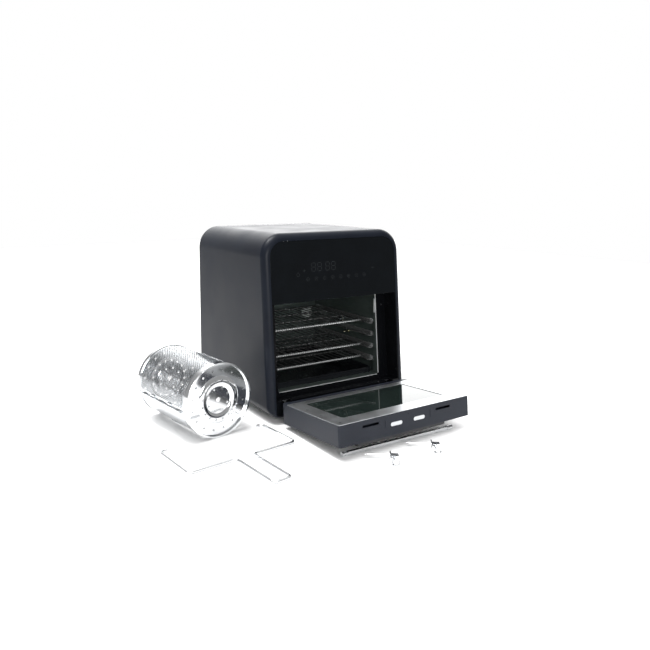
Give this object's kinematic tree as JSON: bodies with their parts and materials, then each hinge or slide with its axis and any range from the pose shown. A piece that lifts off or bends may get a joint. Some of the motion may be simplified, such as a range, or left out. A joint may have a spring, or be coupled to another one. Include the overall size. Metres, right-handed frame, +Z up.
{
  "type": "rotisserie oven",
  "caption": "Worktop rotisserie oven: rounded slate housing, drop-down glazed door, wire racks, drip tray, drum basket, spit with forks and a lifting tool.",
  "frame": {"origin": "centre of the housing's footprint, on the worktop under the feet", "axes": "+X to the right seen from the front, -Y to the front where the door opens, +Z up"},
  "size_m": [0.549, 0.593, 0.36],
  "materials": {
    "housing_moulding": "fine textured matte moulding, slate grey",
    "galvanised_steel": "zinc coated sheet",
    "black_rubber": "matte",
    "zinc_screws": "zinc plated",
    "gloss_black_moulding": "polished black moulding",
    "panel_glass": "back-printed black glass, high gloss",
    "black_moulding": "black moulding",
    "circuit_board": "green solder resist",
    "cavity_steel": "dark satin steel",
    "element_sheath": "heat browned sheath",
    "motor_steel": "plated steel can",
    "white_ceramic": "off-white ceramic and nylon",
    "lamp_glass": "clear heat resistant glass",
    "probe_brass": "turned brass",
    "door_moulding": "slate grey moulding",
    "door_glass": "dark tinted tempered glass",
    "satin_trim": "satin metal trim",
    "handle_moulding": "black moulding",
    "turned_steel": "turned and pressed steel",
    "chromed_wire": "bright chrome plate",
    "black_enamel": "black enamel",
    "drum_sheet": "perforated stainless sheet",
    "polished_disc": "mirror polished stainless",
    "spit_steel": "bright stainless wire"
  },
  "bodies": {
    "oven": {"housing_shell": "housing_moulding", "back_cover": "housing_moulding", "base_plate": "galvanised_steel", "rubber_feet": "black_rubber", "foot_screws": "zinc_screws", "back_cover_screws": "zinc_screws", "front_fascia": "gloss_black_moulding", "sill_panel": "gloss_black_moulding", "control_panel_glass": "panel_glass", "control_carrier": "black_moulding", "control_board": "circuit_board", "power_board": "circuit_board", "hinge_brackets": "galvanised_steel", "hinge_pins": "zinc_screws", "door_switch": "black_moulding", "cavity_liner": "cavity_steel", "rack_runners": "cavity_steel", "cavity_supports": "galvanised_steel", "heater_pan": "galvanised_steel", "heating_element": "element_sheath", "fan_guard": "cavity_steel", "motor_bracket": "galvanised_steel", "fan_motor": "motor_steel", "gear_motor": "motor_steel", "drive_bush": "white_ceramic", "spit_support": "galvanised_steel", "lamp_holder": "white_ceramic", "lamp_bulb": "lamp_glass", "lamp_cover": "lamp_glass", "temperature_probe": "probe_brass", "thermal_cutout": "white_ceramic", "cable_gland": "black_rubber"},
    "door": {"door_frame": "door_moulding", "door_outer_glass": "door_glass", "door_inner_glass": "door_glass", "door_inner_trim": "satin_trim", "door_handle": "handle_moulding", "handle_screws": "zinc_screws", "hinge_arms": "galvanised_steel", "trim_screws": "zinc_screws", "catch_plates": "satin_trim"},
    "switch_button": {"switch_plunger": "white_ceramic"},
    "fan": {"fan_shaft": "turned_steel", "convection_fan": "turned_steel", "cooling_fan": "black_moulding"},
    "rotisserie_drive": {"drive_socket": "turned_steel"},
    "lower_rack": {"rack_lower": "chromed_wire"},
    "middle_rack": {"rack_middle": "chromed_wire"},
    "upper_rack": {"rack_upper": "chromed_wire"},
    "tray": {"drip_tray": "black_enamel"},
    "drum": {"drum_mesh": "drum_sheet", "drum_front_disc": "polished_disc", "drum_rear_disc": "polished_disc"},
    "drum_door": {"drum_flap": "drum_sheet"},
    "spit": {"spit_rod": "spit_steel"},
    "fork_a": {"fork_one": "spit_steel"},
    "fork_b": {"fork_two": "spit_steel"},
    "screw_a": {"thumbscrew_one": "spit_steel"},
    "screw_b": {"thumbscrew_two": "spit_steel"},
    "tool": {"lifting_tool": "spit_steel"}
  },
  "joints": [
    {"name": "door_hinge", "type": "hinge", "parent": "oven", "child": "door", "pos_m": [0, -0.15184, 0.01743], "axis": [1, 0, 0], "range_deg": [-90, 0]},
    {"name": "switch_press", "type": "slide", "parent": "oven", "child": "switch_button", "axis": [0, 0.9967, -0.0818], "range_m": [0, 0.002], "stiffness_N_per_m": 150, "springref_m": -0.002},
    {"name": "fan_spin", "type": "hinge", "parent": "oven", "child": "fan", "pos_m": [0, 0.018, 0.26205], "axis": [0, 0, 1], "continuous": true},
    {"name": "drive_spin", "type": "hinge", "parent": "oven", "child": "rotisserie_drive", "pos_m": [0.132, 0.028, 0.143], "axis": [1, 0, 0], "continuous": true},
    {"name": "lower_rack_slide", "type": "slide", "parent": "oven", "child": "lower_rack", "axis": [0, -1, 0], "range_m": [0, 0.2]},
    {"name": "middle_rack_slide", "type": "slide", "parent": "oven", "child": "middle_rack", "axis": [0, -1, 0], "range_m": [0, 0.2]},
    {"name": "upper_rack_slide", "type": "slide", "parent": "oven", "child": "upper_rack", "axis": [0, -1, 0], "range_m": [0, 0.2]},
    {"name": "tray_slide", "type": "slide", "parent": "oven", "child": "tray", "axis": [0, -1, 0], "range_m": [0, 0.08]},
    {"name": "drum_lift", "type": "slide", "parent": "oven", "child": "drum", "axis": [0, 0, 1], "range_m": [0, 0.1]},
    {"name": "drum_door_hinge", "type": "hinge", "parent": "drum", "child": "drum_door", "pos_m": [-0.34633, -0.07427, 0.05609], "axis": [-0.1461, 0.9893, 0], "range_deg": [0, 110]},
    {"name": "spit_draw", "type": "slide", "parent": "oven", "child": "spit", "axis": [0.9997, -0.0237, 0], "range_m": [0, 0.12]},
    {"name": "fork_a_lift", "type": "slide", "parent": "oven", "child": "fork_a", "axis": [0, 0, 1], "range_m": [0, 0.05]},
    {"name": "fork_b_lift", "type": "slide", "parent": "oven", "child": "fork_b", "axis": [0, 0, 1], "range_m": [0, 0.05]},
    {"name": "screw_a_turn", "type": "hinge", "parent": "fork_a", "child": "screw_a", "pos_m": [0.01172, -0.41888, 0.006], "axis": [-0.5878, -0.809, 0], "continuous": true},
    {"name": "screw_b_turn", "type": "hinge", "parent": "fork_b", "child": "screw_b", "pos_m": [-0.07928, -0.41888, 0.006], "axis": [-0.5878, -0.809, 0], "continuous": true},
    {"name": "tool_lift", "type": "slide", "parent": "oven", "child": "tool", "axis": [0, 0, 1], "range_m": [0, 0.06]}
  ]
}
